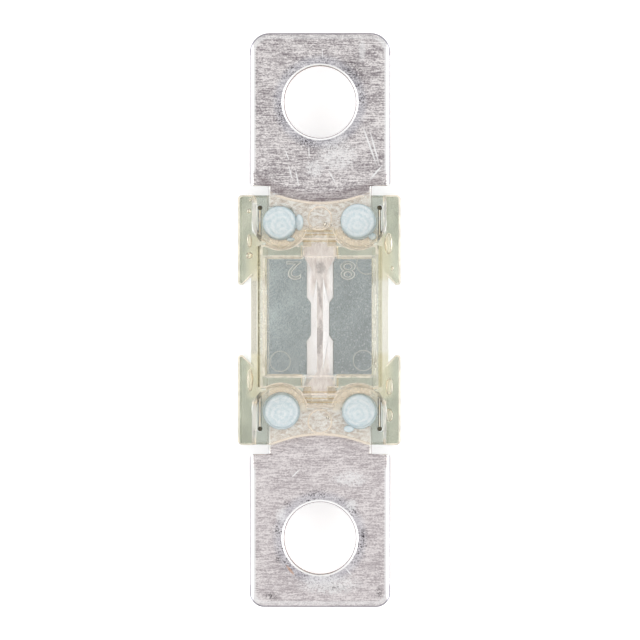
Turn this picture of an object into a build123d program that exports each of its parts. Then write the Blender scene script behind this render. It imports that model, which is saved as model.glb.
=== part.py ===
from build123d import *
import os
from math import hypot, sqrt

# Bolt-down strip fuse. A stamped metal strip, with a bolt hole in each end and a narrow
# fuse element in its middle, lies between two clear moulded shells. Four posts of the
# rear shell pass beside the strip and through the front shell, where they are staked.
# X runs across the strip, Y along it, and Z up from the back of the housing.
# The origin is under the middle of the strip, on the plane that the back lies on.
# All sizes are in millimetres.

# Strip
bolt_spacing = 51.0
bolt_hole_d = 8.4
hole_rim_r = 0.4
end_margin = 8.05
land_length = 9.8
terminal_width = 16.4
neck_width = 12.0
strip_t = 1.2
stock_edge_r = 0.5
stock_hair = 0.01
neck_edge_r = 0.25
upper_corner_r = 2.3
lower_corner_r = 1.7
shoulder_r = 0.5
root_drop = 2.015
notch_clear = 0.3

# Fuse element, from its upper root to its lower one
root_width = 3.9
wide_width = 3.1
narrow_width = 2.15
narrow_length = 3.75
narrow_shift = 0.1
shoulder_run = 0.68
upper_root_length = 2.0
upper_taper = 0.7
lower_root_length = 0.4
lower_taper = 1.7
element_corner_r = 0.25
ridge_width = 0.7
crease_depth = 0.5
upper_crease_inset = 2.35
lower_crease_inset = 0.97
upper_peak_run = 2.1
lower_peak_run = 1.6

# Housing outline
shoulder_gap = 1.15
flange_width = 1.06
wing_reach = 1.46
wing_tip_width = 0.55
wing_tip_y = 4.08
wing_root_y = 5.0
wing_heel_y = 6.1
wing_corner_r = 0.5
wing_tip_r = 0.35
outer_edge_r = 0.3
scoop_depth = 0.9
scoop_r = 14.2
scoop_shift = 0.16

# Housing heights and walls
front_depth = 4.55
rear_depth = 5.85
deck_t = 1.3
window_t = 1.0
floor_t = 1.6
flange_t = 1.6
joint_gap = 0.02
channel_side_clear = 0.15
channel_top_clear = 0.03
draft_deg = 7.0

# Chamber and the stepped tunnel over the element's roots
inner_shift = 0.4
chamber_side = 0.58
chamber_side_draft = 0.45
chamber_end_draft = 0.08
chamber_inset = 4.14
box_wall = 0.37
relief_gap = 0.42
relief_overrun = 1.42
relief_hook = 0.75
tunnel_width = 4.2
tunnel_run = 1.3
tunnel_inset = 2.0
tunnel_wall = 0.85
tunnel_roof = 0.1
tunnel_foot_wall = 0.3
tunnel_step_width = 4.5
tunnel_step_run = 1.1
tunnel_step_drop = 1.5
pin_mark_d = 2.26
pin_mark_depth = 0.08
pin_mark_inset = 1.7

# Posts, their staked heads and the room round them
post_d = 3.0
post_side_inset = 1.5
post_inset = 3.5
post_clear = 0.1
pocket_margin = 0.575
head_d = 4.3
head_h = 0.95
head_edge_r = 0.25
punch_d = 3.7
punch_depth = 0.12

# Slots beside the posts and the gate recesses on the front shell
slot_width = 0.34
slot_eye_d = 0.6
slot_foot_width = 0.28
slot_length = 4.3
slot_shift = 0.2
slot_wall = 0.735
slot_end_inset = 1.3
gate_d = 2.76
gate_neck_width = 1.9
gate_inset = 2.7
gate_depth = 0.25

# How far cutters and joined shapes run past each other, and a margin for picking edges
overlap = 0.5
pick_margin = 0.01

# Derived places, the strip first and then the housing round it
half_spacing = bolt_spacing / 2
shoulder_y = half_spacing - land_length
neck_half = neck_width / 2
root_half = root_width / 2
wide_half = wide_width / 2
narrow_half = narrow_width / 2
housing_half = shoulder_y - shoulder_gap
scoop_centre = housing_half - scoop_depth + scoop_r
post_half = housing_half - post_inset
post_x = neck_half - post_side_inset
notch_r = post_d / 2 + notch_clear
lobe_r = hypot(post_x - root_half, root_drop)
chamber_half = neck_half + chamber_side
chamber_end = post_half - chamber_inset
box_half = chamber_half + box_wall
heel_x = box_half + relief_gap
body_half = box_half + flange_width
wing_half = body_half + wing_reach
channel_half = neck_half + channel_side_clear
slot_x = channel_half + slot_wall + slot_width / 2
slot_y = housing_half - slot_end_inset - slot_length / 2
pocket_half = slot_x + slot_width / 2 + pocket_margin
pocket_r = pocket_half - post_x
tunnel_end = post_half - tunnel_inset
tunnel_neck_half = post_x - sqrt(pocket_r**2 - tunnel_inset**2) - tunnel_wall
channel_depth = strip_t + channel_top_clear
strip_z = rear_depth - channel_depth
strip_top = strip_z + strip_t
front_z = rear_depth + joint_gap
deck_z = front_z + deck_t
ends = (1, -1)
sides = (1, -1)


def post_y(end):
    """Y of the posts at the upper (1) or lower (-1) end: the inside sits off centre."""
    return inner_shift + end * post_half


def post_places():
    return [(side * post_x, post_y(end)) for end in ends for side in sides]


def box_between(x_half, y_from, y_to, z_from, z_to):
    """A block of half-width x_half, between two places in Y and two in Z."""
    middle = Pos(0, (y_from + y_to) / 2, (z_from + z_to) / 2)
    return middle * Box(2 * x_half, abs(y_to - y_from), z_to - z_from)


def band(x_half, y_from, y_to):
    """A flat rectangle of half-width x_half between two places in Y."""
    return Pos(0, (y_from + y_to) / 2) * Rectangle(2 * x_half, abs(y_to - y_from))


def faceted(points, faces):
    """A solid with flat faces, each a list of indices into points."""
    loops = [Wire.make_polygon([points[i] for i in face]) for face in faces]
    return Solid(Shell([Face(loop) for loop in loops]))


def root_y(end):
    """Where the element's root leaves the rounded end of the strip."""
    return post_y(end) - end * sqrt(lobe_r**2 - (post_x - root_half) ** 2)


def terminal(end, corner_r):
    """One end as punched, a hair wider than the stock, so that its sides stay rolled."""
    outer = end * (half_spacing + end_margin)
    plate = band(terminal_width / 2 + stock_hair, end * shoulder_y, outer)
    by_reach = plate.vertices().sort_by(lambda v: end * v.Y)
    plate = fillet(by_reach[2:], corner_r)
    near = plate.vertices().filter_by(lambda v: abs(v.Y - end * shoulder_y) < pick_margin)
    plate = fillet(near, shoulder_r)
    return plate - Pos(0, end * half_spacing) * Circle(bolt_hole_d / 2)


def strip_end(end):
    """The neck and the two round lobes between the shoulder and the element's root."""
    neck = band(neck_half, post_y(end), end * (shoulder_y + overlap))
    middle = band(post_x, root_y(end), post_y(end))
    trim = band(neck_half, post_y(end) - end * lobe_r, post_y(end))
    lobes = Sketch()
    notches = Sketch()
    for side in sides:
        at_post = Pos(side * post_x, post_y(end))
        lobes += at_post * Circle(lobe_r)
        mouth = Pos(side * neck_half, 0) * Rectangle(2 * neck_half, 2 * notch_r)
        notches += at_post * (Circle(notch_r) + mouth)
    return neck + middle + (lobes & trim) - notches


def element_outline():
    narrow_top = narrow_shift + narrow_length / 2
    narrow_foot = narrow_shift - narrow_length / 2
    upper_root = root_y(1) - upper_root_length
    lower_root = root_y(-1) + lower_root_length
    right = [
        (root_half, root_y(1) + overlap),
        (root_half, upper_root),
        (wide_half, upper_root - upper_taper),
        (wide_half, narrow_top + shoulder_run),
        (narrow_half, narrow_top),
        (narrow_half, narrow_foot),
        (wide_half, narrow_foot - shoulder_run),
        (wide_half, lower_root + lower_taper),
        (root_half, lower_root),
        (root_half, root_y(-1) - overlap),
    ]
    left = [(-x, y) for x, y in reversed(right)]
    outline = make_face(Polyline(*right, *left, close=True))
    inner = outline.vertices().filter_by(lambda v: root_y(-1) < v.Y < root_y(1))
    return fillet(inner, element_corner_r)


def crease_places():
    """Y of the crease's peaks, and of where its flanks meet the element's edges."""
    upper_edge = root_y(1) - upper_crease_inset
    lower_edge = root_y(-1) + lower_crease_inset
    return upper_edge - upper_peak_run, upper_edge, lower_edge + lower_peak_run, lower_edge


def crease_flank(side):
    """What the press takes off one side of the element's top, down from its ridge."""
    upper_peak, upper_edge, lower_peak, lower_edge = crease_places()
    reach = root_half + overlap
    inner = ridge_width / 2
    share = (reach - inner) / (wide_half - inner)
    drop = crease_depth * share
    upper_corner = upper_peak + (upper_edge - upper_peak) * share
    lower_corner = lower_peak + (lower_edge - lower_peak) * share
    points = [
        (side * inner, upper_peak, strip_top),
        (side * reach, upper_corner, strip_top),
        (side * reach, upper_peak, strip_top - drop),
        (side * inner, lower_peak, strip_top),
        (side * reach, lower_corner, strip_top),
        (side * reach, lower_peak, strip_top - drop),
    ]
    faces = [(0, 1, 4, 3), (0, 3, 5, 2), (0, 2, 1), (3, 4, 5), (1, 2, 5, 4)]
    return faceted(points, faces)


def crease_hollow():
    """The hipped groove that the press leaves under the ridge."""
    upper_peak, upper_edge, lower_peak, lower_edge = crease_places()
    points = [
        (-wide_half, upper_edge, strip_z),
        (wide_half, upper_edge, strip_z),
        (wide_half, lower_edge, strip_z),
        (-wide_half, lower_edge, strip_z),
        (0, upper_peak, strip_z + crease_depth),
        (0, lower_peak, strip_z + crease_depth),
    ]
    faces = [(0, 1, 2, 3), (0, 4, 1), (1, 4, 5, 2), (2, 5, 3), (3, 5, 4, 0)]
    return faceted(points, faces)


def fuse_strip():
    flat = terminal(1, upper_corner_r) + terminal(-1, lower_corner_r)
    for end in ends:
        flat += strip_end(end)
    flat += element_outline()
    blank = extrude(Pos(0, 0, strip_z) * flat, strip_t)
    stock_half = half_spacing + end_margin + overlap
    section = Plane.XZ.offset(-stock_half) * RectangleRounded(terminal_width, strip_t, stock_edge_r)
    stock = extrude(section, 2 * stock_half)
    strip = blank & Pos(0, 0, strip_z + strip_t / 2) * stock
    rims = [
        edge
        for edge in strip.edges().filter_by(GeomType.CIRCLE)
        if abs(abs(edge.arc_center.Y) - half_spacing) < pick_margin
        and edge.center().Z > strip_top - pick_margin
    ]
    strip = fillet(rims, hole_rim_r)
    neck_edges = [
        edge
        for edge in strip.edges().filter_by(Axis.Y)
        if abs(abs(edge.center().X) - neck_half) < pick_margin
        and edge.center().Z > strip_top - pick_margin
    ]
    strip = fillet(neck_edges, neck_edge_r)
    for side in sides:
        strip -= crease_flank(side)
    return strip - crease_hollow()


def housing_outline():
    """One shell's outline: a body with a hooked wing at each corner and scooped ends."""
    quarter = [
        (wing_half, housing_half),
        (wing_half, wing_tip_y),
        (wing_half - wing_tip_width, wing_tip_y),
        (body_half, wing_root_y),
    ]
    right = quarter + [(x, -y) for x, y in reversed(quarter)]
    left = [(-x, y) for x, y in reversed(right)]
    outline = make_face(Polyline(*right, *left, close=True))
    corners = outline.vertices().filter_by(lambda v: abs(v.Y) > housing_half - pick_margin)
    outline = fillet(corners, wing_corner_r)
    tips = outline.vertices().filter_by(
        lambda v: abs(v.Y) < wing_tip_y + pick_margin and abs(v.X) > wing_half - pick_margin
    )
    return fillet(tips, wing_tip_r)


def staking_pocket(end):
    """The low place at one end, which lets the staking tool reach the two posts."""
    pocket = band(pocket_half, post_y(end), end * half_spacing)
    pocket += band(post_x, inner_shift + end * (tunnel_end + tunnel_step_run), post_y(end))
    for side in sides:
        pocket += Pos(side * post_x, post_y(end)) * Circle(pocket_r)
    return pocket


def side_relief(side):
    """The low flange between two wings, outside the chamber's wall and round its corners."""
    box_end = chamber_end + relief_overrun
    hook_end = box_end + relief_gap
    corner_x = box_half - relief_hook
    points = [
        (box_half, inner_shift + box_end),
        (corner_x, inner_shift + box_end),
        (corner_x, inner_shift + hook_end),
        (heel_x, inner_shift + hook_end),
        (heel_x, wing_heel_y),
        (body_half, wing_root_y),
        (wing_half, 0),
        (body_half, -wing_root_y),
        (heel_x, -wing_heel_y),
        (heel_x, inner_shift - hook_end),
        (corner_x, inner_shift - hook_end),
        (corner_x, inner_shift - box_end),
        (box_half, inner_shift - box_end),
    ]
    return make_face(Polyline(*[(side * x, y) for x, y in points], close=True))


def chamber(height):
    """The chamber's room in one shell, narrower at its bottom than at its mouth."""
    bottom_x = 2 * (chamber_half - chamber_side_draft)
    bottom_y = 2 * (chamber_end - chamber_end_draft)
    mouth = Pos(0, inner_shift) * Rectangle(2 * chamber_half, 2 * chamber_end)
    bottom = Pos(0, inner_shift, height) * Rectangle(bottom_x, bottom_y)
    return loft([mouth, bottom])


def shell(depth, cover):
    """One half of the housing, from its joint face at Z 0 out to its face at depth."""
    block = extrude(housing_outline(), depth)
    face_edges = block.faces().sort_by(Axis.Z)[-1].edges()
    block = fillet(face_edges, outer_edge_r)
    for end in ends:
        centre = Pos(0, scoop_shift + end * scoop_centre, depth / 2)
        block -= centre * Cylinder(scoop_r, depth + overlap)
    for side in sides:
        block -= extrude(Pos(0, 0, flange_t) * side_relief(side), depth)
    ceiling = depth - cover
    block -= chamber(ceiling)
    low_ceiling = ceiling - tunnel_step_drop
    for end in ends:
        shoulder = inner_shift + end * (chamber_end + tunnel_run)
        neck_end = inner_shift + end * (tunnel_end - tunnel_roof)
        foot_end = inner_shift + end * (tunnel_end + tunnel_step_run - tunnel_foot_wall)
        block -= box_between(tunnel_width / 2, inner_shift, shoulder, 0, ceiling)
        block -= box_between(tunnel_neck_half, inner_shift, neck_end, 0, ceiling)
        block -= box_between(tunnel_neck_half, inner_shift, foot_end, 0, low_ceiling)
    return block


def slot_cutters(depth, width):
    """The four narrow slots beside the posts, narrowing towards Z 0, with round outer eyes."""
    cutters = []
    for end in ends:
        for side in sides:
            x = side * slot_x
            y = slot_shift + end * slot_y
            top = Pos(x, y, depth) * Rectangle(width, slot_length)
            foot = Pos(x, y, -joint_gap) * Rectangle(slot_foot_width, slot_length)
            cutters.append(loft([top, foot]))
            eye_y = y + end * (slot_length - slot_eye_d) / 2
            cutters.append(Pos(x, eye_y, depth / 2) * Cylinder(slot_eye_d / 2, depth + overlap))
    return cutters


def front_housing():
    front = shell(front_depth, window_t)
    for end in ends:
        pocket = Pos(0, 0, front_depth) * staking_pocket(end)
        front -= extrude(pocket, front_depth - deck_t, dir=(0, 0, -1), taper=draft_deg)
        step_from = inner_shift + end * tunnel_end
        step_to = step_from + end * (tunnel_step_run + overlap)
        step_z = front_depth - tunnel_step_drop
        front -= box_between(tunnel_step_width / 2, step_from, step_to, step_z, front_depth + overlap)
    for cutter in slot_cutters(deck_t, slot_width):
        front -= cutter
    for x, y in post_places():
        front -= Pos(x, y, deck_t / 2) * Cylinder(post_d / 2 + post_clear, deck_t + overlap)
    for end in ends:
        eye_y = end * (housing_half - gate_inset)
        gate = Pos(0, eye_y) * Circle(gate_d / 2)
        gate += band(gate_neck_width / 2, eye_y, end * housing_half)
        front -= extrude(Pos(0, 0, deck_t - gate_depth) * gate, gate_depth + overlap)
    return Pos(0, 0, front_z) * front


def staked_head():
    """A post's end, melted down into a flat button with the punch's ring in it."""
    button = Pos(0, 0, head_h / 2) * Cylinder(head_d / 2, head_h)
    button = fillet(button.faces().sort_by(Axis.Z)[-1].edges(), head_edge_r)
    return button - Pos(0, 0, head_h) * Cylinder(punch_d / 2, 2 * punch_depth)


def rear_housing():
    rear = shell(rear_depth, floor_t)
    for end in ends:
        outer = end * (housing_half + overlap)
        rear -= box_between(channel_half, inner_shift, outer, -overlap, channel_depth)
    for cutter in slot_cutters(rear_depth, slot_foot_width):
        rear -= cutter
    mark_x = chamber_half - pin_mark_inset
    mark_y = chamber_end - pin_mark_inset
    mark_z = rear_depth - floor_t
    for x in (mark_x, -mark_x):
        for y in (inner_shift + mark_y, inner_shift - mark_y):
            rear -= Pos(x, y, mark_z) * Cylinder(pin_mark_d / 2, 2 * pin_mark_depth)
    rear = Pos(0, 0, rear_depth) * mirror(rear, about=Plane.XY)
    post_foot = strip_z - deck_t / 2
    head_z = deck_z + joint_gap
    post_length = head_z + head_h / 2 - post_foot
    for x, y in post_places():
        rear += Pos(x, y, post_foot + post_length / 2) * Cylinder(post_d / 2, post_length)
        rear += Pos(x, y, head_z) * staked_head()
    return rear


nodes = {
    "fuse_strip": fuse_strip(),
    "front_housing": front_housing(),
    "rear_housing": rear_housing(),
}

os.makedirs("parts", exist_ok=True)
for name, solid in nodes.items():
    export_step(solid, f"parts/{name}.step")
    size = solid.bounding_box().size
    print(name, len(solid.solids()), round(solid.volume, 1), size)
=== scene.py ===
import bpy
from math import atan2, cos, hypot, radians, sin
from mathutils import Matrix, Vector


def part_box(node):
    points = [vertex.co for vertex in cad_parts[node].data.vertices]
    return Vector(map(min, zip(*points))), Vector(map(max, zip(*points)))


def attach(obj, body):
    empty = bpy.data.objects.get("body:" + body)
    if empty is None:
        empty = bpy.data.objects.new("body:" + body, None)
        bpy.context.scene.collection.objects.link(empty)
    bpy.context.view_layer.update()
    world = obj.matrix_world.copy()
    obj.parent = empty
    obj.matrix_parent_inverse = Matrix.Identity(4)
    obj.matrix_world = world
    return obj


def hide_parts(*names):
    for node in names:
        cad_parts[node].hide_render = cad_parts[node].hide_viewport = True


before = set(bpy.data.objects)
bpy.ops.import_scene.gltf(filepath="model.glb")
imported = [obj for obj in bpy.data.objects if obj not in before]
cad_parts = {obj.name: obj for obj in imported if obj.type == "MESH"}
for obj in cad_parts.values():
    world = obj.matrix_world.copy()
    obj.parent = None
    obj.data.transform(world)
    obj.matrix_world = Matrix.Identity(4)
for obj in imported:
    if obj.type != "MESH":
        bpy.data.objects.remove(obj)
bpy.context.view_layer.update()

# Bolt-down strip fuse: a stamped strip of tin-plated copper alloy, clamped between two
# clear moulded shells. The rear shell's posts come through the front one and are melted
# down into heads.

# REAR SHELL
# The lower half of the housing, injection moulded in clear polycarbonate with a faint
# grey-blue tint. The strip lies in its channel. Its posts are cut level with the front
# shell's deck here, because their melted ends are pieces of their own.

mm = 0.001


def linear(code):
    """An sRGB hex colour as the linear colour that a shader takes."""
    parts = [int(code[i : i + 2], 16) / 255 for i in (1, 3, 5)]
    return [c / 12.92 if c <= 0.04045 else ((c + 0.055) / 1.055) ** 2.4 for c in parts] + [1]


def add_node(tree, kind, inputs=(), **settings):
    """Adds a node. inputs gives its sockets values or links, in order or by name or number."""
    made = tree.nodes.new(kind)
    for name, value in settings.items():
        setattr(made, name, value)
    given = inputs if isinstance(inputs, dict) else dict(enumerate(inputs))
    for name, value in given.items():
        if isinstance(value, bpy.types.NodeSocket):
            tree.links.new(value, made.inputs[name])
        else:
            made.inputs[name].default_value = value
    return made


def new_material(name):
    material = bpy.data.materials.new(name)
    material.use_nodes = True
    material.node_tree.nodes.clear()
    return material, material.node_tree


def pattern_place(tree, size=(1, 1, 1), at=(0, 0, 0), turn=0):
    """Object coordinates from a point in mm, turned about Z and counted in a size in mm."""
    inputs = {
        "Vector": add_node(tree, "ShaderNodeTexCoord").outputs["Object"],
        "Location": [mm * v for v in at],
        "Rotation": (0, 0, turn),
        "Scale": [mm * v for v in size],
    }
    return add_node(tree, "ShaderNodeMapping", inputs, vector_type="TEXTURE").outputs[0]


def cloudy(tree, size, detail=3, roughness=0.5, distortion=0):
    """Random patches about as big as a size in mm, with values from 0 to 1."""
    inputs = {
        "Vector": pattern_place(tree, size),
        "Scale": 1,
        "Detail": detail,
        "Roughness": roughness,
        "Distortion": distortion,
    }
    return add_node(tree, "ShaderNodeTexNoise", inputs).outputs["Fac"]


def product(tree, first, *others):
    """The values multiplied, such as masks that all have to hold."""
    total = first
    for value in others:
        total = add_node(tree, "ShaderNodeMath", (total, value), operation="MULTIPLY").outputs[0]
    return total


def strongest(tree, first, *others):
    """The highest of the values, such as masks of which one has to hold."""
    total = first
    for value in others:
        total = add_node(tree, "ShaderNodeMath", (total, value), operation="MAXIMUM").outputs[0]
    return total


def mixture(tree, first, *others):
    """Patterns added up, each given with its share."""
    total = product(tree, *first)
    for pattern, share in others:
        inputs = (pattern, share, total)
        total = add_node(tree, "ShaderNodeMath", inputs, operation="MULTIPLY_ADD").outputs[0]
    return total


def weighted(tree, mask, pattern, low, high, least=0, most=1):
    """A mask times least where a pattern is under low, and times most where it is over high."""
    inputs = (pattern, low, high, least, most)
    return product(tree, mask, add_node(tree, "ShaderNodeMapRange", inputs).outputs[0])


def painted(tree, colour, *coats):
    """A colour with coats laid over it in turn, each given as a mask and a colour."""
    for mask, coat in coats:
        under, over = [linear(side) if isinstance(side, str) else side for side in (colour, coat)]
        inputs = {0: mask, 6: under, 7: over}
        colour = add_node(tree, "ShaderNodeMix", inputs, data_type="RGBA").outputs[2]
    return colour


def two_tone(tree, pattern, low, high, first, second):
    """The first colour where a pattern is under low, and the second where it is over high."""
    share = add_node(tree, "ShaderNodeMapRange", (pattern, low, high)).outputs[0]
    return painted(tree, first, (share, second))


def steepness(tree, flat, steep):
    """0 where a face lies as level as flat, 1 where its normal's Z is down to steep."""
    normal = add_node(tree, "ShaderNodeTexCoord").outputs["Normal"]
    normal = add_node(tree, "ShaderNodeVectorMath", [normal], operation="ABSOLUTE").outputs[0]
    upright = add_node(tree, "ShaderNodeSeparateXYZ", [normal]).outputs[2]
    return add_node(tree, "ShaderNodeMapRange", (upright, steep, flat, 1, 0)).outputs[0]


def axes_in_mm(tree):
    """Places across, along and up the part, from its origin."""
    return add_node(tree, "ShaderNodeSeparateXYZ", [pattern_place(tree)]).outputs


def folded(tree, centre_y=0):
    """Distances in mm from the part's middle, across it and along it, alike on all sides."""
    place = pattern_place(tree, at=(0, centre_y, 0))
    place = add_node(tree, "ShaderNodeVectorMath", [place], operation="ABSOLUTE").outputs[0]
    return add_node(tree, "ShaderNodeSeparateXYZ", [place]).outputs


def from_point(tree, distances, point):
    """Distance in mm from a point across and along the part."""
    here = add_node(tree, "ShaderNodeCombineXYZ", (distances[0], distances[1])).outputs[0]
    apart = add_node(tree, "ShaderNodeVectorMath", (here, (*point, 0)), operation="DISTANCE")
    return apart.outputs["Value"]


def within(tree, value, low, high, soft=0.05):
    """1 where a value is between low and high, with soft ends. A low end of -1 is under any
    distance, so it takes in the middle."""
    rise = add_node(tree, "ShaderNodeMapRange", (value, low - soft, low)).outputs[0]
    return weighted(tree, rise, value, high, high + soft, 1, 0)


def patch(tree, distances, across, along, soft=(0.05, 0.05)):
    """1 between two distances across the part and two along it, with soft ends."""
    spans = (across, along)
    sides = [within(tree, distances[i], *spans[i], soft[i]) for i in (0, 1)]
    return product(tree, *sides)


def clear_moulding(name, face_colour, wall_highlight_colour, absorbed, density, passed, ripple, pale_lines=None):
    """Clear plastic with polished faces and a tint within. Drafted walls and edges are duller and
    paler, a painted highlight for the light that they bend towards the eye. The slots beside the
    posts are painted dark as painted shade, a band beside each pocket is painted white as a
    painted highlight, and the chamber's side walls are painted darker on the right as painted
    shade. The last argument gives more places that are as pale as the walls. Light from the
    lamps passes it straight, dimmed once per face."""
    material, tree = new_material(name)
    waves = cloudy(tree, (2.5, 2.5, 2.5), 2, 0.4)
    fine_waves = cloudy(tree, (0.35, 0.35, 0.35), 2, 0.5)
    height = mixture(tree, [waves], (fine_waves, 0.08))
    bump = add_node(tree, "ShaderNodeBump", {"Strength": ripple, "Distance": 0.1 * mm, "Height": height})

    # Painted highlight: steep walls and edges get a pale, less clear skin for the light they bend towards
    # the eye.
    wall = weighted(tree, steepness(tree, 0.985, 0.93), steepness(tree, 0.1, 0.03), 0, 1, 1, 0.12)
    wall = weighted(tree, wall, cloudy(tree, (1.2, 1.2, 1.2), 2), 0.35, 0.6, 0.55, 1)
    if pale_lines:
        wall = strongest(tree, wall, pale_lines(tree))

    distances = folded(tree)
    # Painted shade: the slot walls are painted dark.
    slot = patch(tree, distances, (6.8, 7.28), (8.3, 13.6))
    # Painted highlight: a band beside each pocket is painted white.
    pocket_side_highlight = patch(tree, distances, (7.3, 7.85), (10.1, 13.6), (0.05, 0.4))
    # The chamber's side walls are painted pale, darker on the right: painted highlight and painted shade.
    chamber_side = patch(tree, distances, (6.1, 6.9), (-1, 7.6))
    chamber_wall_light_and_shade = two_tone(tree, axes_in_mm(tree)[0], -1, 1, "#d9d2c4", "#c2c2b8")
    coats = ((slot, "#3a3226"), (pocket_side_highlight, "#ffffff"), (chamber_side, chamber_wall_light_and_shade))
    wall_highlight_and_shade = painted(tree, wall_highlight_colour, *coats)
    plastic = {
        "Base Color": painted(tree, face_colour(tree), (wall, wall_highlight_and_shade)),
        "Roughness": add_node(tree, "ShaderNodeMapRange", (wall, 0, 1, 0.02, 0.22)).outputs[0],
        "IOR": 1.58,
        "Transmission Weight": add_node(tree, "ShaderNodeMapRange", (wall, 0, 1, 0.96, 0.4)).outputs[0],
        "Normal": bump.outputs[0],
    }
    surface = add_node(tree, "ShaderNodeBsdfPrincipled", plastic).outputs[0]
    to_lamps = add_node(tree, "ShaderNodeBsdfTransparent", {"Color": passed}).outputs[0]
    path = add_node(tree, "ShaderNodeLightPath").outputs["Is Shadow Ray"]
    mixed = add_node(tree, "ShaderNodeMixShader", (path, surface, to_lamps)).outputs[0]
    inside = add_node(tree, "ShaderNodeVolumeAbsorption", {"Color": absorbed, "Density": density})
    add_node(tree, "ShaderNodeOutputMaterial", {"Surface": mixed, "Volume": inside.outputs[0]})
    return material


def select_only(piece):
    bpy.ops.object.select_all(action="DESELECT")
    piece.select_set(True)
    bpy.context.view_layer.objects.active = piece


def joined_copy(node, name):
    """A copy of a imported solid's mesh, its triangles joined into faces again."""
    piece = bpy.data.objects.new(name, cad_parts[node].data.copy())
    bpy.context.scene.collection.objects.link(piece)
    select_only(piece)
    if piece.data.has_custom_normals:
        bpy.ops.mesh.customdata_custom_splitnormals_clear()
    bpy.ops.object.mode_set(mode="EDIT")
    bpy.ops.mesh.select_all(action="SELECT")
    bpy.ops.mesh.remove_doubles(threshold=0.001 * mm)
    bpy.ops.mesh.dissolve_limited(angle_limit=radians(0.5))
    bpy.ops.mesh.quads_convert_to_tris(ngon_method="BEAUTY")
    bpy.ops.object.mode_set(mode="OBJECT")
    return piece


sharp_angle = radians(40)


def soften_edges(piece, width, keep=lambda point: False, segments=3):
    """Rounds the sharp edges, but not where keep is true."""
    select_only(piece)
    bpy.ops.object.mode_set(mode="EDIT")
    bpy.ops.mesh.select_mode(type="EDGE")
    bpy.ops.mesh.select_all(action="DESELECT")
    bpy.ops.mesh.edges_select_sharp(sharpness=sharp_angle)
    bpy.ops.object.mode_set(mode="OBJECT")
    points = piece.data.vertices
    for edge in piece.data.edges:
        if edge.select and any(keep(points[i].co) for i in edge.vertices):
            edge.select = False
    bpy.ops.object.mode_set(mode="EDIT")
    bpy.ops.mesh.bevel(offset=width, segments=segments, affect="EDGES", clamp_overlap=False)
    bpy.ops.mesh.select_all(action="SELECT")
    bpy.ops.mesh.dissolve_limited(angle_limit=radians(0.5))
    bpy.ops.object.mode_set(mode="OBJECT")


def finish_piece(piece, material, angle=32):
    """Smooths the edges up to an angle in degrees, gives the material and fastens the piece."""
    select_only(piece)
    bpy.ops.object.shade_smooth_by_angle(angle=radians(angle))
    level = piece.modifiers.new("level faces", "WEIGHTED_NORMAL")
    level.keep_sharp = True
    bpy.ops.object.modifier_apply(modifier=level.name)
    piece.data.materials.clear()
    piece.data.materials.append(material)
    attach(piece, "root")


deck_thickness = 1.3 * mm
deck_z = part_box("front_housing")[0].z + deck_thickness
edge_radius = 0.12 * mm
# Only the posts reach above this height, and the heads cover their sharp ends.
post_end_z = 7 * mm


def stays_sharp(point):
    """The slots, the gate's recess, the ejector marks and a part of the parting line keep
    their sharp edges. Edges on the outside are rounded in the solid already."""
    x, y, z = (abs(value) / mm for value in point)
    outside = x > 8.3 or (x > 7.6 and not 6 < y < 13.2)
    slot = 6.6 < x < 7.5 and y > 8.3
    gate = x < 2.3 and y > 10.6
    parting_line = x < 3.5 and y > 9 and 5.8 < z < 5.95
    mark = 3.5 < x < 6.1 and 3.1 < y < 7 and 1.4 < z < 1.7
    return outside or slot or gate or parting_line or mark


# Painted marks are placed in mm. The chamber lies a little towards the upper end.
chamber_y = 0.4
chamber_half = (6.25, 6.8)
ejector_marks = ((-4.77, -4.87), (5.0, -4.76), (5.4, 6.57))
ejector_ring = (1.17, 1.21)


def chamber_floor_colour(tree):
    """The chamber's floor is grey-blue, partly the plastic's tint and partly painted shade for the
    shade under the chamber, and darker on the lower right as painted shade, with fine specks as
    coarse as they need to be to show, pale flecks and the rings that the ejector pins left."""
    axes = axes_in_mm(tree)
    clouds = cloudy(tree, (2.2, 3.2, 2), 3, 0.55)
    specks = cloudy(tree, (0.13, 0.26, 0.3), 2, 0.6)
    mottled = mixture(tree, (clouds, 0.4), (specks, 0.6))
    # The grey-blue mottle inside the chamber is partly the plastic's tint and partly painted shade.
    worn = two_tone(tree, mottled, 0.38, 0.64, "#7b898e", "#c8d2d5")
    # Painted shade: darker towards the lower right.
    to_lower_right = mixture(tree, (axes[1], -0.25), (axes[0], 0.3))
    shade = add_node(tree, "ShaderNodeMapRange", (to_lower_right, -1.8, 1.8, 0, 0.55)).outputs[0]

    cells = {"Vector": pattern_place(tree, (0.5, 0.6, 1000)), "Scale": 1}
    from_fleck = add_node(tree, "ShaderNodeTexVoronoi", cells, voronoi_dimensions="2D").outputs["Distance"]
    flecks = add_node(tree, "ShaderNodeMapRange", (from_fleck, 0.06, 0.19, 0.36, 0)).outputs[0]
    crowding = mixture(tree, [cloudy(tree, (2, 2, 1000), 2, 0.5)], (axes[0], 0.02))
    flecks = weighted(tree, flecks, crowding, 0.42, 0.6, 0.1, 1)
    worn = painted(tree, worn, (shade, "#70797e"), (flecks, "#ffffff"))
    for middle in ejector_marks:
        ring = within(tree, from_point(tree, axes, middle), *ejector_ring, 0.04)
        worn = painted(tree, worn, (ring, "#cfccc3"))
    inner = patch(tree, folded(tree, chamber_y), (-1, chamber_half[0]), (-1, chamber_half[1]))
    return painted(tree, "#f6f9fa", (inner, worn))


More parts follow.
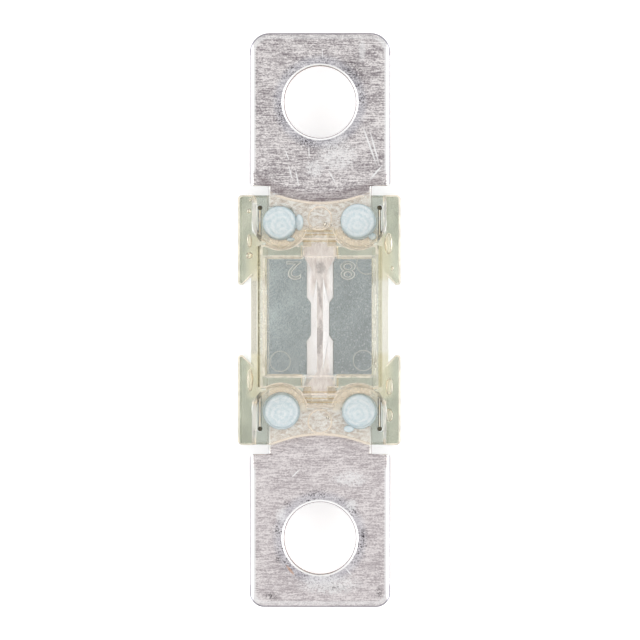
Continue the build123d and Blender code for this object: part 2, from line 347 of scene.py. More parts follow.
rear_plastic = clear_moulding(
    "polycarbonate moulded clear grey-blue",
    chamber_floor_colour,
    # The pale walls and edges are a painted highlight.
    wall_highlight_colour="#f4f0e4",
    absorbed=(0.25, 0.6, 0.55, 1),
    density=22,
    passed=(0.95, 0.96, 0.96, 1),
    ripple=0.05,
)
rear_shell = joined_copy("rear_housing", "rear_shell")
bpy.ops.object.mode_set(mode="EDIT")
bpy.ops.mesh.select_all(action="SELECT")
bpy.ops.mesh.bisect(
    plane_co=(0, 0, deck_z - 0.01 * mm), plane_no=(0, 0, 1), use_fill=True, clear_outer=True
)
bpy.ops.object.mode_set(mode="OBJECT")
soften_edges(rear_shell, edge_radius, lambda point: stays_sharp(point) or point.z > post_end_z)
finish_piece(rear_shell, rear_plastic)
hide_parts("rear_housing")

# FUSE STRIP
# One stamping of copper alloy with a matt tin plate. Rolling leaves fine streaks across
# it, handling leaves scratches and scuffs, and the plate is cleaner under the housing.

# Sizes and places of painted marks in mm, worked out from the strip's outline and holes,
# the posts, and the scoops in the housing's ends.
strip_half = (8.2, 33.55)
corner_r_lower = 1.7
corner_r_upper = 2.3
bolt_middle = (0, 25.5)
post_middle = (4.62, 11.05)
scoop_middle = (0, 27.84)
scoop_r = 14.2
scoop_shift = 0.16


def spot(tree, at, half_size, turn=0):
    """1 at a place in mm, falling to 0 at the edge of an oval of a half-size in mm."""
    place = pattern_place(tree, (*half_size, 1000), (*at, 0), turn)
    return add_node(tree, "ShaderNodeTexGradient", [place], gradient_type="SPHERICAL").outputs[1]


def scratch(tree, start, end, half_width=0.11):
    length = hypot(end[0] - start[0], end[1] - start[1])
    middle = [(a + b) / 2 for a, b in zip(start, end)]
    turn = atan2(end[1] - start[1], end[0] - start[0])
    line = spot(tree, middle, (0.6 * length, half_width), turn)
    return add_node(tree, "ShaderNodeMapRange", (line, 0.1, 0.6)).outputs[0]


def rolling_marks(tree):
    """Wavy streaks across the strip. Real ones are finer, and these are as coarse as they
    need to be to show."""
    streaks = cloudy(tree, (1.5, 0.15, 2), 5, 0.62, 0.5)
    grain = cloudy(tree, (0.2, 0.14, 0.4), 3, 0.65)
    clouds = cloudy(tree, (2.8, 1.3, 4), 3, 0.65)
    return mixture(tree, (grain, 0.4), (streaks, 0.42), (clouds, 0.18))


def plate_colour(tree, marks, distances, along_strip):
    """Warm grey plate, paler on the lower terminal, clean under the housing and white round the
    posts, with a dark line of painted shade along the housing's ends and a cool one round the holes."""
    bare = two_tone(tree, marks, 0.43, 0.57, "#8d8589", "#f9f4f3")
    lower = add_node(tree, "ShaderNodeMapRange", (along_strip, -1, 1, 0.32, 0)).outputs[0]
    bare = painted(tree, bare, (lower, "#e6dcdd"))
    clean = two_tone(tree, cloudy(tree, (0.6, 0.35, 1), 4, 0.7, 0.4), 0.36, 0.6, "#cabcb1", "#ffffff")
    from_scoop = from_point(tree, folded(tree, scoop_shift), scoop_middle)
    across, along = distances[0], distances[1]
    covered = weighted(tree, within(tree, along, -1, 15), from_scoop, scoop_r - 0.05, scoop_r)
    from_post = from_point(tree, distances, post_middle)
    round_post = within(tree, from_post, 1.9, 3.1, 0.15)
    round_post = product(tree, round_post, within(tree, along, 7, 10.4, 0.5), 0.75)
    # Painted shade: a dark band on the plate just outside the housing's scooped ends.
    scoop_shade_line = within(tree, from_scoop, scoop_r - 0.9, scoop_r - 0.1, 0.4)
    scoop_shade_line = product(tree, scoop_shade_line, within(tree, across, -1, 6.9, 0.5))
    scoop_shade_line = weighted(tree, scoop_shade_line, along_strip, -1, 1, 0.1, 0.4)
    rim = within(tree, from_point(tree, distances, bolt_middle), 4.3, 5.0, 0.7)
    return painted(
        tree,
        bare,
        (covered, clean),
        (round_post, "#fff8ea"),
        (scoop_shade_line, "#857779"),
        (product(tree, rim, 0.3), "#c9cedb"),
    )


def bolt_wear(tree, distances):
    """Dark pits that washers dug round the bolt holes, and worn places beyond them, each
    with its place and half-size. Pits are as coarse as they need to be to show."""
    pits = cloudy(tree, (0.2, 0.2, 1), 3, 0.7)
    dug = within(tree, from_point(tree, distances, bolt_middle), 4.5, 5.2, 0.8)
    dug = weighted(tree, dug, pits, 0.53, 0.59)
    dug = weighted(tree, dug, cloudy(tree, (3, 3, 1000), 2, 0.5), 0.4, 0.6, 0.1, 1)
    worn_places = (
        ((3.7, 29.0), (2.3, 2.0)),
        ((5.0, -25.1), (0.7, 1.2)),
        ((-3.7, -21.5), (0.7, 0.6)),
        ((-4.9, -27.9), (0.5, 0.7)),
        ((1.7, -31.3), (2.9, 0.6)),
        ((-5.7, -32.3), (1.3, 0.6)),
        ((6.9, -31.8), (0.5, 0.9)),
    )
    worn = strongest(tree, *[spot(tree, *place) for place in worn_places])
    return strongest(tree, dug, weighted(tree, worn, pits, 0.47, 0.57, 0, 1.1))


def handling_marks(tree, rubbed):
    """Bright scratches, each with its ends and half-width, scuffs, each with its place,
    half-size and turn, and a pale band beside the upper hole."""
    scratches = (
        ((4.88, 23.0), (6.75, 17.74), 0.16),
        ((5.75, 22.41), (6.98, 17.97), 0.15),
        ((5.75, 16.33), (7.45, 18.26), 0.16),
        ((-3.72, 18.26), (-3.19, 16.22)),
        ((-2.91, 17.74), (-2.43, 15.45)),
        ((-1.32, 20.4), (-1.25, 18.8)),
        ((-4.1, 19.9), (-3.6, 18.6)),
        ((0.9, 17.6), (1.9, 15.9)),
        ((0.25, 31.9), (0.3, 30.4), 0.07),
        ((-1.3, 5.2), (1.3, 5.15), 0.07),
        ((-1.2, 4.9), (1.1, 4.85), 0.05),
        ((2.9, -28.9), (3.8, -29.97)),
        ((-3.4, -18.5), (-2.3, -17.4)),
    )
    scuffs = (
        ((2.0, 19.2), (2.8, 2.3)),
        ((-0.6, 17.8), (1.4, 1.4)),
        ((1.1, -30.9), (4.4, 1.5)),
        ((3.6, -21.6), (1.1, 0.9), 0.6),
        ((-4.5, -22.7), (0.9, 1.3)),
        ((3.5, -18.6), (2.5, 1.2)),
    )
    scuffed = strongest(tree, *[spot(tree, *scuff) for scuff in scuffs])
    scuffed = weighted(tree, scuffed, rubbed, 0.44, 0.54, 0.3, 1.7)
    scuffed = add_node(tree, "ShaderNodeMapRange", (scuffed, 0.1, 0.7, 0, 0.7)).outputs[0]
    band = spot(tree, (4.93, 31.5), (0.5, 1.6))
    band = add_node(tree, "ShaderNodeMapRange", (band, 0, 0.5, 0, 0.5)).outputs[0]
    return strongest(tree, band, scuffed, *[scratch(tree, *line) for line in scratches])


def distance_between(tree, value, place):
    """How far a value is from a place on its axis, either way."""
    offset = add_node(tree, "ShaderNodeMath", (value, place), operation="SUBTRACT").outputs[0]
    return add_node(tree, "ShaderNodeMath", [offset], operation="ABSOLUTE").outputs[0]


def element_marks(tree, distances, across_strip, rubbed):
    """Silver grey, drawn along the element, with a faint wandering ridge line and three darker
    streaks, both painted shade where the element folds."""
    silver = two_tone(tree, cloudy(tree, (0.35, 1.2, 1), 4, 0.6), 0.35, 0.65, "#d9cecd", "#faf4f3")
    wander = cloudy(tree, (1000, 2.6, 1000), 2)
    wander = add_node(tree, "ShaderNodeMapRange", (wander, 0.3, 0.7, -0.5, 0.5)).outputs[0]
    from_ridge = distance_between(tree, across_strip, wander)
    # Painted shade along the element's crease.
    ridge = product(
        tree, within(tree, from_ridge, -1, 0.1, 0.16), within(tree, distances[1], -1, 5.6, 1.2)
    )
    ridge = weighted(tree, ridge, rubbed, 0.4, 0.55, 0.3, 1)
    # Painted shade: three darker streaks where the element folds and twists.
    streaks = strongest(
        tree,
        spot(tree, (0.05, 6.1), (0.75, 0.95), 0.3),
        spot(tree, (-0.05, -2.1), (0.55, 2.6), -0.05),
        product(tree, scratch(tree, (-0.4, 4.9), (0.35, 0.6), 0.25), 0.45),
    )
    streaks = weighted(tree, streaks, rubbed, 0.4, 0.52, 0.5, 2.2)
    streaks = add_node(tree, "ShaderNodeMapRange", (streaks, 0.1, 0.8, 0, 0.5)).outputs[0]
    return silver, product(tree, ridge, 0.3), streaks


def from_strip_edge(tree, distances, along_strip):
    """Distance in mm inwards from the strip's outline, a rectangle with rounded corners."""
    corners = (along_strip, -1, 1, corner_r_lower, corner_r_upper)
    rounding = add_node(tree, "ShaderNodeMapRange", corners).outputs[0]
    past_corner = []
    for distance, half in zip(distances, strip_half):
        past = add_node(tree, "ShaderNodeMath", (distance, half), operation="SUBTRACT").outputs[0]
        past = add_node(tree, "ShaderNodeMath", (past, rounding), operation="ADD").outputs[0]
        past_corner.append(strongest(tree, past, 0))
    reach = from_point(tree, past_corner, (0, 0))
    return add_node(tree, "ShaderNodeMath", (rounding, reach), operation="SUBTRACT").outputs[0]


def tin_plate():
    """The eye sees a light grey metal with a warm cast and fine wavy streaks. Its white edges are a
    painted highlight, with painted shade on their steeper faces and along the upper end's outline.
    Where the plate ends, the cut sides show the copper alloy."""
    material, tree = new_material("tin plate on rolled copper alloy")
    distances = folded(tree)
    axes = axes_in_mm(tree)
    marks = rolling_marks(tree)
    rubbed = cloudy(tree, (0.35, 0.35, 1), 4, 0.6, 1.5)
    bare_copper = product(tree, scratch(tree, (-4.0, -28.6), (-2.95, -29.9), 0.22), 0.5)
    element = patch(tree, distances, (-1, 2.0), (-1, 8.9))
    silver, ridge, streaks = element_marks(tree, distances, axes[0], rubbed)
    along = distances[1]
    from_edge = from_strip_edge(tree, distances, axes[1])
    # Painted highlight: white along the rolled edges of the terminals.
    edge_highlight = product(tree, within(tree, from_edge, -1, 0.55, 0.2), within(tree, along, 17.6, 32.9, 0.6))
    edge_highlight = weighted(tree, edge_highlight, along, 31.2, 32.6, 0.8, 0.5)
    # Painted shade: a dark line along the upper end's outline.
    edge_shade_line = product(tree, within(tree, from_edge, -1, 0.12), within(tree, along, 31.0, 40), 0.8)
    colour = painted(
        tree,
        plate_colour(tree, marks, distances, axes[1]),
        (bolt_wear(tree, distances), "#4e484c"),
        (bare_copper, "#cf9461"),
        (product(tree, handling_marks(tree, rubbed), 0.8), "#ffffff"),
        (element, silver),
        # The ridge line and the streaks are painted shade.
        (ridge, "#a0969a"),
        (streaks, "#6e6468"),
        (edge_highlight, "#ffffff"),
        # Painted highlight on gently sloped faces and painted shade on steeper ones; the steepest, cut
        # sides show the copper alloy.
        (steepness(tree, 0.985, 0.94), painted(tree, "#ffffff", (element, "#c9c8cd"))),
        (steepness(tree, 0.7, 0.5), "#837f8c"),
        (edge_shade_line, "#7c7988"),
        (steepness(tree, 0.3, 0.15), "#c59d7a"),
    )
    bump = add_node(tree, "ShaderNodeBump", {"Strength": 0.2, "Distance": 0.02 * mm, "Height": marks})
    metal = {
        "Base Color": colour,
        "Metallic": 1,
        "Roughness": add_node(tree, "ShaderNodeMapRange", (marks, 0.42, 0.57, 0.45, 0.3)).outputs[0],
        "Normal": bump.outputs[0],
    }
    surface = add_node(tree, "ShaderNodeBsdfPrincipled", metal).outputs[0]
    add_node(tree, "ShaderNodeOutputMaterial", {"Surface": surface})
    return material


ridge_x = 0.35 * mm
element_end_y = 8 * mm
strip = joined_copy("fuse_strip", "plated_strip")
soften_edges(strip, 0.08 * mm, segments=2)
points = strip.data.vertices
for edge in strip.data.edges:
    ends = [points[i].co for i in edge.vertices]
    on_crease = [abs(abs(end.x) - ridge_x) < 0.02 * mm and abs(end.y) < element_end_y for end in ends]
    if all(on_crease):
        edge.use_edge_sharp = True
finish_piece(strip, tin_plate())
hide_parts("fuse_strip")

# FRONT SHELL
# The upper half, injection moulded in clear polycarbonate that has a pale straw tint.
# Thick walls such as the wings show the tint, and the thin window hardly does.

# Marks on the top face alone start between these heights, and the tunnel over the
# element's roots has its steps at these distances along the part, all in mm.
front_top = (9.9, 10.1)
tunnel_steps = (8.75, 9.5, 9.95)


def front_face_colour(tree):
    """Thick walls look greener. The strips along the sides are painted pale, darker on the left, as
    painted light, the tunnel's step edges get a painted highlight, and painted shade lies in the
    grooves beside the chamber's walls, more on the left."""
    distances = folded(tree, chamber_y)
    axes = axes_in_mm(tree)
    wing = within(tree, distances[0], 7.9, 20)
    wing = weighted(tree, wing, distances[1], 3.5, 4.0)
    wing = weighted(tree, wing, axes[2], *front_top)
    bar = product(tree, patch(tree, distances, (1.7, 6.9), (6.9, 8.3)), 0.48)
    beside_head = product(tree, patch(tree, distances, (6.05, 7.9), (8.6, 20), (0.2, 0.05)), 0.6)
    deep = two_tone(tree, cloudy(tree, (2.5, 3.5, 3), 2, 0.5), 0.35, 0.65, "#adafa2", "#dcdacc")
    lower = add_node(tree, "ShaderNodeMapRange", (axes[1], -1, 1, 0.4, 0)).outputs[0]
    deep = painted(tree, deep, (lower, "#b0b2a6"))
    # Painted light: the strips along the sides are paler, and darker on the left.
    side_strip_light = patch(tree, distances, (7.4, 8.45), (-1, 4.4), (0.05, 0.4))
    hook_root = patch(tree, distances, (7.0, 7.9), (4.6, 9.2), (0.8, 0.6))
    colour = painted(
        tree,
        "#ffffff",
        (strongest(tree, wing, bar, beside_head), deep),
        (side_strip_light, two_tone(tree, axes[0], -1, 1, "#e2dcd3", "#f6f1eb")),
        (hook_root, "#f3ecdb"),
    )
    # Painted highlight along each of the tunnel's step edges.
    for step in tunnel_steps:
        edge = patch(tree, distances, (-1, 2.0), (step, step + 0.07))
        colour = painted(tree, colour, (edge, "#f1e2c2"))

    # Painted shade: a tan band and a dark broken line along the grooves, stronger on the left.
    groove = product(tree, patch(tree, distances, (6.9, 7.3), (-1, 8.2)), 0.5)
    groove_shade_line = patch(tree, distances, (7.04, 7.18), (-1, 8.2))
    groove_shade_line = weighted(tree, groove_shade_line, axes[0], -1, 1, 0.95, 0.25)
    groove_shade_line = weighted(tree, groove_shade_line, cloudy(tree, (0.3, 0.3, 0.3), 3, 0.7), 0.42, 0.52, 0.35, 1)
    return painted(tree, colour, (groove, "#d3c596"), (groove_shade_line, "#66562c"))


def outline(tree, distances, middle, half_size, half_width):
    """1 along the edge of a rectangle whose middle and half-size are in mm."""
    beyond = []
    for distance, centre, reach in zip(distances, middle, half_size):
        offset = distance_between(tree, distance, centre)
        beyond.append(add_node(tree, "ShaderNodeMath", (offset, reach), operation="SUBTRACT").outputs[0])
    from_edge = distance_between(tree, strongest(tree, *beyond), 0)
    return within(tree, from_edge, -1, half_width, 0.06)


gate_middle = (0, 11.85)


def edge_highlight_lines(tree):
    """Pale lines round the chamber, the bars, the pockets, the gates and the scooped ends: painted
    highlights for the light that the rounded edges bend towards the eye."""
    distances = folded(tree, chamber_y)
    broken = cloudy(tree, (0.5, 0.5, 0.5), 3, 0.6)
    lines = strongest(
        tree,
        outline(tree, distances, (0, 0), (6.38, 6.95), 0.07),
        outline(tree, distances, (4.3, 7.6), (2.5, 0.58), 0.09),
        patch(tree, distances, (6.58, 6.86), (-1, 8.4)),
    )
    lines = weighted(tree, lines, axes_in_mm(tree)[2], *front_top)
    lines = weighted(tree, lines, broken, 0.35, 0.55, 0.3, 0.75)
    beside_pocket = patch(tree, distances, (7.38, 7.78), (10.0, 13.2), (0.05, 0.4))
    from_post = from_point(tree, distances, post_middle)
    under_post = product(
        tree, within(tree, from_post, 1.9, 3.0, 0.15), within(tree, distances[1], -1, 10.0, 0.5)
    )
    under_post = weighted(tree, under_post, broken, 0.35, 0.6, 0.15, 0.5)
    gate_line = within(tree, from_point(tree, folded(tree), gate_middle), 1.3, 1.42)
    from_scoop = from_point(tree, folded(tree, scoop_shift), scoop_middle)
    end_lip = within(tree, from_scoop, scoop_r, scoop_r + 0.25)
    gate_line = product(tree, gate_line, 0.75)
    end_lip = product(tree, end_lip, 0.7)
    return strongest(tree, lines, beside_pocket, under_post, gate_line, end_lip)


front_plastic = clear_moulding(
    "polycarbonate moulded clear straw",
    front_face_colour,
    # The pale walls and edges are a painted highlight.
    wall_highlight_colour="#fbeedd",
    absorbed=(0.57, 0.44, 0.02, 1),
    density=60,
    passed=(0.96, 0.955, 0.945, 1),
    ripple=0.06,
    pale_lines=edge_highlight_lines,
)
front_shell = joined_copy("front_housing", "front_shell")
soften_edges(front_shell, edge_radius, stays_sharp)
finish_piece(front_shell, front_plastic)
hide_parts("front_housing")

# SLOTS
# Moulding flash closes each slot with a thin amber web. Dark brown strips along both sides of
# it and a dark plug in the slot's outer eye are painted shade, put where the slot lies in shade.


def slot_shade():
    """Nearly black brown and matt, a painted shade, with a speckle and bump drawn coarse enough to show.
    Nearly black brown and dull, with crumbs drawn coarser than real ones to show.
    """
    material, tree = new_material("painted shade dark brown")
    shade_speckle = cloudy(tree, (0.12, 0.12, 0.12), 3, 0.7)
    bump = add_node(tree, "ShaderNodeBump", {"Strength": 0.5, "Distance": 0.05 * mm, "Height": shade_speckle})
    shade_surface = {
        "Base Color": two_tone(tree, shade_speckle, 0.4, 0.6, "#2b2a22", "#5b5440"),
        "Roughness": 0.75,
        "Normal": bump.outputs[0],
    }
    surface = add_node(tree, "ShaderNodeBsdfPrincipled", shade_surface).outputs[0]
    add_node(tree, "ShaderNodeOutputMaterial", {"Surface": surface})
    return material


def amber_web():
    """So thin and stressed that it looks milky and pale yellow, not clear."""
    material, tree = new_material("polycarbonate flash amber")
    clouds = cloudy(tree, (0.4, 0.8, 0.4), 3, 0.6)
    web = {
        "Base Color": two_tone(tree, clouds, 0.35, 0.65, "#fdefcb", "#fffdf8"),
        "Roughness": 0.35,
        "IOR": 1.58,
        "Transmission Weight": 0.1,
    }
    surface = add_node(tree, "ShaderNodeBsdfPrincipled", web).outputs[0]
    add_node(tree, "ShaderNodeOutputMaterial", {"Surface": surface})
    return material


# Places and sizes in mm. All four slots are shifted a little towards the upper end.
slot_x = 6.99
slot_y = 11.0
slot_shift = 0.2
fill_length = 3.3
fill_top_z = deck_z / mm - 0.02
eye_y = 12.9
plug_r = 0.29
plug_depth = 0.5
# The strips and plugs in the slots are painted shade.
slot_shade_material = slot_shade()
fills = (
    ("slot_web", 0, 0.15, 0.3, amber_web()),
    ("slot_shade_inner", -0.12, 0.08, 0.5, slot_shade_material),
    ("slot_shade_outer", 0.12, 0.08, 0.5, slot_shade_material),
)
for corner, side, end in (
    ("upper_left", -1, 1),
    ("upper_right", 1, 1),
    ("lower_left", -1, -1),
    ("lower_right", 1, -1),
):
    for part, shift, width, depth, material in fills:
        place = (side * (slot_x + shift), slot_shift + end * slot_y, fill_top_z - depth / 2)
        bpy.ops.object.select_all(action="DESELECT")
        bpy.ops.mesh.primitive_cube_add(size=1, location=[mm * v for v in place])
        fill = bpy.context.object
        fill.name = f"{part}_{corner}"
        fill.scale = (width * mm, fill_length * mm, depth * mm)
        bpy.ops.object.transform_apply(location=True, rotation=True, scale=True)
        bpy.ops.object.mode_set(mode="EDIT")
        bpy.ops.mesh.subdivide(number_cuts=6)
        bpy.ops.transform.vertex_random(offset=0.01 * mm, seed=2)
        bpy.ops.object.mode_set(mode="OBJECT")
        finish_piece(fill, material, 60)
    bpy.ops.object.select_all(action="DESELECT")
    place = (side * slot_x, slot_shift + end * eye_y, fill_top_z - plug_depth / 2)
    bpy.ops.mesh.primitive_cylinder_add(
        vertices=32, radius=plug_r * mm, depth=plug_depth * mm, location=[mm * v for v in place]
    )
    plug = bpy.context.object
    plug.name = f"slot_shade_plug_{corner}"
    bpy.ops.object.transform_apply(location=True, rotation=True, scale=True)
    bpy.ops.object.mode_set(mode="EDIT")
    bpy.ops.mesh.bevel(offset=0.06 * mm, segments=2, affect="EDGES")
    bpy.ops.object.mode_set(mode="OBJECT")
    finish_piece(plug, slot_shade_material, 40)

# STAKED HEADS
# The rear shell's post ends, melted down by a round punch. The skin is frosted, lighter
# than the clear plastic, with rings and swirls where the melt was dragged round.

head_middle = (4.4, 10.9)
head_height = 0.93 * mm
head_edge_r = 0.25 * mm
skirt_height = 0.3 * mm
foot_z = deck_z + 0.02 * mm


def frosted_melt():
    """Milky pale blue with a soft shine, paler where the melt swirled up, and darker and bluer on
    the heads' rounded edges as painted shade."""
    material, tree = new_material("polycarbonate melted frosted blue")
    here = add_node(tree, "ShaderNodeCombineXYZ", folded(tree)[:2]).outputs[0]
    inputs = (here, (*head_middle, 0))
    from_middle = add_node(tree, "ShaderNodeVectorMath", inputs, operation="SUBTRACT").outputs[0]
    dragged = {"Vector": from_middle, "Scale": 0.45, "Distortion": 5, "Detail": 3, "Detail Roughness": 0.5}
    rings = add_node(
        tree, "ShaderNodeTexWave", dragged, wave_type="RINGS", rings_direction="SPHERICAL"
    ).outputs["Fac"]
    swirl = cloudy(tree, (0.7, 0.7, 0.7), 4, 0.6, 3)
    melt_marks = mixture(tree, (swirl, 0.86), (rings, 0.14))
    colour = two_tone(tree, melt_marks, 0.3, 0.66, "#cbdde3", "#f4fafc")
    # Painted shade on the rounded edges.
    edge = product(tree, steepness(tree, 0.985, 0.6), 0.7)
    bump = add_node(tree, "ShaderNodeBump", {"Strength": 0.6, "Distance": 0.12 * mm, "Height": melt_marks})
    melt = {
        "Base Color": painted(tree, colour, (edge, "#b4cad3")),
        "Roughness": 0.3,
        "IOR": 1.58,
        "Transmission Weight": 0.25,
        "Normal": bump.outputs[0],
    }
    surface = add_node(tree, "ShaderNodeBsdfPrincipled", melt).outputs[0]
    add_node(tree, "ShaderNodeOutputMaterial", {"Surface": surface})
    return material


melt_material = frosted_melt()


def pressed_head(name, at, radius, punch_radius):
    """A flat button on the deck, with a rounded edge and the punch's ring sunk in its top."""
    bpy.ops.object.select_all(action="DESELECT")
    place = (*at, foot_z + head_height / 2)
    bpy.ops.mesh.primitive_cylinder_add(vertices=96, radius=radius, depth=head_height, location=place)
    head = bpy.context.object
    head.name = name
    bpy.ops.object.transform_apply(location=True, rotation=True, scale=True)
    for face in head.data.polygons:
        face.select = face.normal.z > 0.9
    bpy.ops.object.mode_set(mode="EDIT")
    bpy.ops.mesh.select_mode(type="FACE")
    bpy.ops.mesh.bevel(offset=head_edge_r, segments=5, affect="EDGES")
    bpy.ops.object.mode_set(mode="OBJECT")
    for face in head.data.polygons:
        face.select = face.normal.z > 0.999 and len(face.vertices) > 4
    bpy.ops.object.mode_set(mode="EDIT")
    bpy.ops.mesh.inset(thickness=radius - head_edge_r - punch_radius)
    for sink in (-0.06 * mm, 0.03 * mm, 0):
        bpy.ops.mesh.inset(thickness=0.1 * mm)
        bpy.ops.transform.translate(value=(0, 0, sink))
    bpy.ops.object.mode_set(mode="OBJECT")
    finish_piece(head, melt_material)


def melt_skirt(name, at, radius):
    """The thin disc of melt that was squeezed out round a head."""
    bpy.ops.object.select_all(action="DESELECT")
    place = (*at, foot_z + skirt_height / 2)
    bpy.ops.mesh.primitive_cylinder_add(vertices=64, radius=radius, depth=skirt_height, location=place)
    skirt = bpy.context.object
    skirt.name = name
    bpy.ops.object.transform_apply(location=True, rotation=True, scale=True)
    bpy.ops.object.mode_set(mode="EDIT")
    bpy.ops.mesh.bevel(offset=0.12 * mm, segments=3, affect="EDGES")
    bpy.ops.mesh.select_all(action="SELECT")
    bpy.ops.transform.vertex_random(offset=0.06 * mm, seed=3)
    bpy.ops.object.mode_set(mode="OBJECT")
    finish_piece(skirt, melt_material, 60)


heads = {
    "upper_left": ((-4.72, 11.35), 1.93, 1.5, (0.06, -0.04), 1.97),
    "upper_right": ((4.45, 11.55), 2.0, 1.55, (0.06, -0.1), 2.07),
    "lower_left": ((-4.44, -10.6), 2.0, 1.5, (-0.04, 0.0), 2.17),
    "lower_right": ((4.62, -10.55), 1.93, 1.5, (0.02, -0.08), 2.05),
}
for corner, (at, radius, punch_radius, drift, skirt_radius) in heads.items():
    place = [mm * v for v in at]
    pressed_head(f"staked_head_{corner}", place, radius * mm, punch_radius * mm)
    skirt_place = [mm * (v + d) for v, d in zip(at, drift)]
    melt_skirt(f"melt_skirt_{corner}", skirt_place, skirt_radius * mm)


def rough_oval(name, at, half_size, material, seed, roughness):
    """A closed oval with an uneven skin, at a place and with a half-size in mm."""
    bpy.ops.object.select_all(action="DESELECT")
    bpy.ops.mesh.primitive_ico_sphere_add(subdivisions=4, radius=1, location=(0, 0, 0))
    oval = bpy.context.object
    oval.name = name
    bpy.ops.object.mode_set(mode="EDIT")
    bpy.ops.mesh.select_all(action="SELECT")
    bpy.ops.transform.vertex_random(offset=roughness, seed=seed)
    bpy.ops.mesh.vertices_smooth(factor=0.5, repeat=3)
    bpy.ops.transform.resize(value=[mm * v for v in half_size], center_override=(0, 0, 0))
    bpy.ops.transform.translate(value=[mm * v for v in at])
    bpy.ops.object.mode_set(mode="OBJECT")
    finish_piece(oval, material, 180)


flash_z = deck_z / mm + 0.22
flash_half_height = 0.2
flashes = {
    "upper_left": ((-2.4, 11.4), (0.5, 0.95)),
    "upper_left_low": ((-3.4, 9.4), (0.5, 0.25)),
    "upper_right": ((6.15, 9.75), (0.45, 0.4)),
    "lower_right": ((3.4, -12.7), (0.6, 0.4)),
}
for number, (corner, (at, half_size)) in enumerate(flashes.items()):
    place = (*at, flash_z)
    half_size = (*half_size, flash_half_height)
    rough_oval(f"melt_flash_{corner}", place, half_size, melt_material, number, 0.14)

# VOIDS
# Thick walls shrink as they cool, and leave bubbles with nothing in them. Light turns at
# their skin as it leaves the plastic, so they look bright with dark rims.


def bubble_skin():
    """A clear skin with a little haze. Light leaves plastic for air here, so the IOR is that
    of air over that of plastic."""
    material, tree = new_material("shrinkage bubble in clear polycarbonate")
    glass = {"Color": (1, 1, 1, 1), "Roughness": 0.08, "IOR": 0.64}
    skin = add_node(tree, "ShaderNodeBsdfGlass", glass).outputs[0]
    haze = add_node(tree, "ShaderNodeBsdfDiffuse", {"Color": linear("#fffaf0")}).outputs[0]
    skin = add_node(tree, "ShaderNodeMixShader", (0.15, skin, haze)).outputs[0]
    through = add_node(tree, "ShaderNodeBsdfTransparent", {"Color": (0.95, 0.95, 0.95, 1)}).outputs[0]
    path = add_node(tree, "ShaderNodeLightPath").outputs["Is Shadow Ray"]
    mixed = add_node(tree, "ShaderNodeMixShader", (path, skin, through)).outputs[0]
    add_node(tree, "ShaderNodeOutputMaterial", {"Surface": mixed})
    return material


void_material = bubble_skin()
voids = (
    ((8.05, 8.92, 9.2), (0.5, 1.25, 0.4)),
    ((-8.14, 7.5, 9.3), (0.42, 0.42, 0.4)),
    ((-8.12, 9.2, 9.2), (0.3, 0.8, 0.3)),
    ((-8.05, -6.99, 9.2), (0.38, 1.35, 0.4)),
    ((8.15, -7.73, 9.2), (0.45, 1.05, 0.4)),
    ((8.15, -11.08, 9.2), (0.46, 0.8, 0.4)),
    ((-8.2, 12.7, 9.5), (0.25, 0.27, 0.25)),
    ((-8.0, 14.0, 9.6), (0.22, 0.22, 0.2)),
    ((8.5, 6.0, 9.5), (0.2, 0.3, 0.2)),
    ((0.6, 11.2, 6.6), (0.22, 0.25, 0.2)),
    ((1.15, 11.05, 6.6), (0.25, 0.2, 0.2)),
    ((0.9, -11.4, 6.6), (0.2, 0.2, 0.2)),
)
for number, (at, half_size) in enumerate(voids):
    rough_oval(f"void_{number + 1}", at, half_size, void_material, number, 0.08)

# NUMERALS
# Plain mould numbers, raised on the chamber's floor and read from the other end. Their tops
# are grey as the floor and their slopes are painted white, a painted highlight.

number_height = 3.0 * mm
number_y = 5.95 * mm
number_z = 1.75 * mm
number_stretch = 1.3


def raised_number():
    """Mottled grey tops between slopes painted white as a painted highlight, so the strokes look thin."""
    material, tree = new_material("polycarbonate moulded number")
    top_mottle = cloudy(tree, (0.3, 0.3, 0.3), 3, 0.6)
    top = painted(tree, "#93a0a4", (top_mottle, "#b3bec1"))
    number = {
        # Painted highlight: the slopes are white.
        "Base Color": painted(tree, top, (steepness(tree, 0.995, 0.93), "#ffffff")),
        "Roughness": 0.3,
    }
    surface = add_node(tree, "ShaderNodeBsdfPrincipled", number).outputs[0]
    add_node(tree, "ShaderNodeOutputMaterial", {"Surface": surface})
    return material


number_material = raised_number()
for numeral, number_x in (("2", -3.15 * mm), ("8", 3.2 * mm)):
    bpy.ops.object.select_all(action="DESELECT")
    bpy.ops.object.text_add()
    raised = bpy.context.object
    raised.data.body = numeral
    raised.data.size = number_height
    raised.data.offset = -0.08 * mm
    raised.data.extrude = 0.03 * mm
    raised.data.bevel_depth = 0.12 * mm
    raised.data.align_x = "CENTER"
    raised.data.align_y = "CENTER"
    bpy.ops.object.convert(target="MESH")
    raised.name = f"mould_number_{numeral}"
    bpy.ops.object.mode_set(mode="EDIT")
    bpy.ops.mesh.select_all(action="SELECT")
    bpy.ops.mesh.remove_doubles(threshold=0.001 * mm)
    bpy.ops.transform.rotate(value=radians(180), orient_axis="Z", center_override=(0, 0, 0))
    bpy.ops.transform.resize(value=(number_stretch, 1, 1), center_override=(0, 0, 0))
    bpy.ops.transform.translate(value=(number_x, number_y, number_z))
    bpy.ops.object.mode_set(mode="OBJECT")
    finish_piece(raised, number_material, 20)

# FLOOR, LIGHT AND CAMERA
# A white table in an even studio. Softboxes on the left and right and a bright band all
# round near the table make the strip's rolled edges shine.

table_width = 6
bpy.ops.object.select_all(action="DESELECT")
bpy.ops.mesh.primitive_plane_add(size=table_width, location=(0, 0, -0.02 * mm))
floor = bpy.context.object
floor.name = "floor"


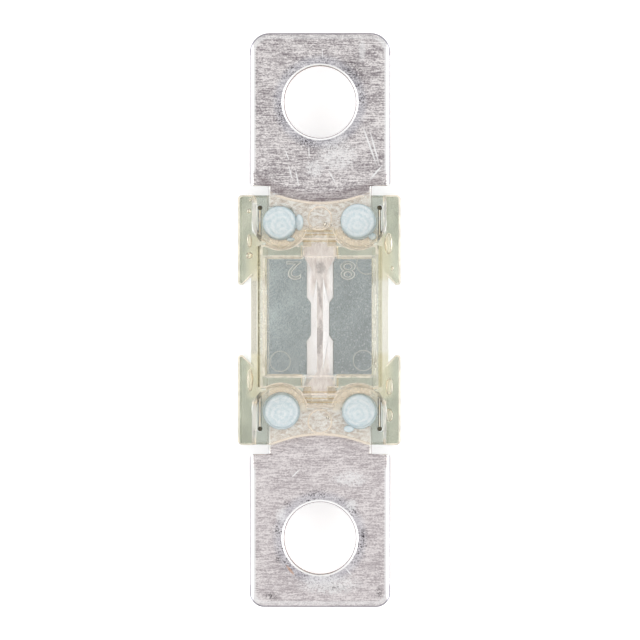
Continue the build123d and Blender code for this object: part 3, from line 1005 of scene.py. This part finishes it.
def white_table():
    """Matt white, with a faint glow that only the camera, mirrors and clear plastic see, so
    that it is as white as the photograph's background."""
    material, tree = new_material("white table")
    path = add_node(tree, "ShaderNodeLightPath").outputs
    seen = strongest(tree, path["Is Camera Ray"], path["Is Glossy Ray"], path["Is Transmission Ray"])
    glow = {"Color": (1, 1, 1, 1), "Strength": product(tree, seen, 0.28)}
    top = add_node(tree, "ShaderNodeBsdfDiffuse", {"Color": linear("#f4f4f4")}).outputs[0]
    lift = add_node(tree, "ShaderNodeEmission", glow).outputs[0]
    both = add_node(tree, "ShaderNodeAddShader", (top, lift)).outputs[0]
    add_node(tree, "ShaderNodeOutputMaterial", {"Surface": both})
    return material


floor.data.materials.append(white_table())

world = bpy.data.worlds.new("studio")
bpy.context.scene.world = world
world.use_nodes = True
world.node_tree.nodes.clear()
tree = world.node_tree
direction = add_node(tree, "ShaderNodeTexCoord").outputs["Generated"]
height = add_node(tree, "ShaderNodeSeparateXYZ", [direction]).outputs[2]
level = add_node(tree, "ShaderNodeMapRange", (height, 0.2, 0.7, 1.15, 0.85)).outputs[0]
room = add_node(tree, "ShaderNodeBackground", {"Color": (1, 1, 1, 1), "Strength": level}).outputs[0]
add_node(tree, "ShaderNodeOutputWorld", {"Surface": room})

# An area light shines as brightly as its power over four times its area.
softbox_size = (0.7, 0.36)
softbox_x = 0.5
softbox_z = 0.24
for side, radiance in ((1, 1.45), (-1, 1.2)):
    bpy.ops.object.light_add(type="AREA", location=(side * softbox_x, 0, softbox_z))
    softbox = bpy.context.object
    softbox.data.shape = "RECTANGLE"
    softbox.data.size, softbox.data.size_y = softbox_size
    softbox.data.energy = radiance * 4 * softbox_size[0] * softbox_size[1]
    softbox.rotation_euler = (-softbox.location).to_track_quat("-Z", "Z").to_euler()

# Light crosses many clear walls, and would turn black inside them if it stopped too soon.
clear_wall_bounces = 48
cycles = bpy.context.scene.cycles
cycles.max_bounces = clear_wall_bounces
cycles.transmission_bounces = clear_wall_bounces
cycles.transparent_max_bounces = clear_wall_bounces
cycles.glossy_bounces = 16

picture_px = 640
px_per_mm = 8.553
view_width = picture_px / px_per_mm * mm
distance = 900 * mm
tilt = radians(1.25)
target = Vector((0, 0, 5.8 * mm))
sensor_width = 36
camera_data = bpy.data.cameras.new("camera")
camera_data.sensor_width = sensor_width
camera_data.lens = sensor_width * distance / view_width
camera_data.clip_start = 0.01
camera_data.clip_end = 20
camera = bpy.data.objects.new("camera", camera_data)
bpy.context.scene.collection.objects.link(camera)
camera.location = target + distance * Vector((sin(tilt), 0, cos(tilt)))
camera.rotation_euler = (0, tilt, 0)
bpy.context.scene.camera = camera
bpy.context.scene.view_settings.view_transform = "Standard"
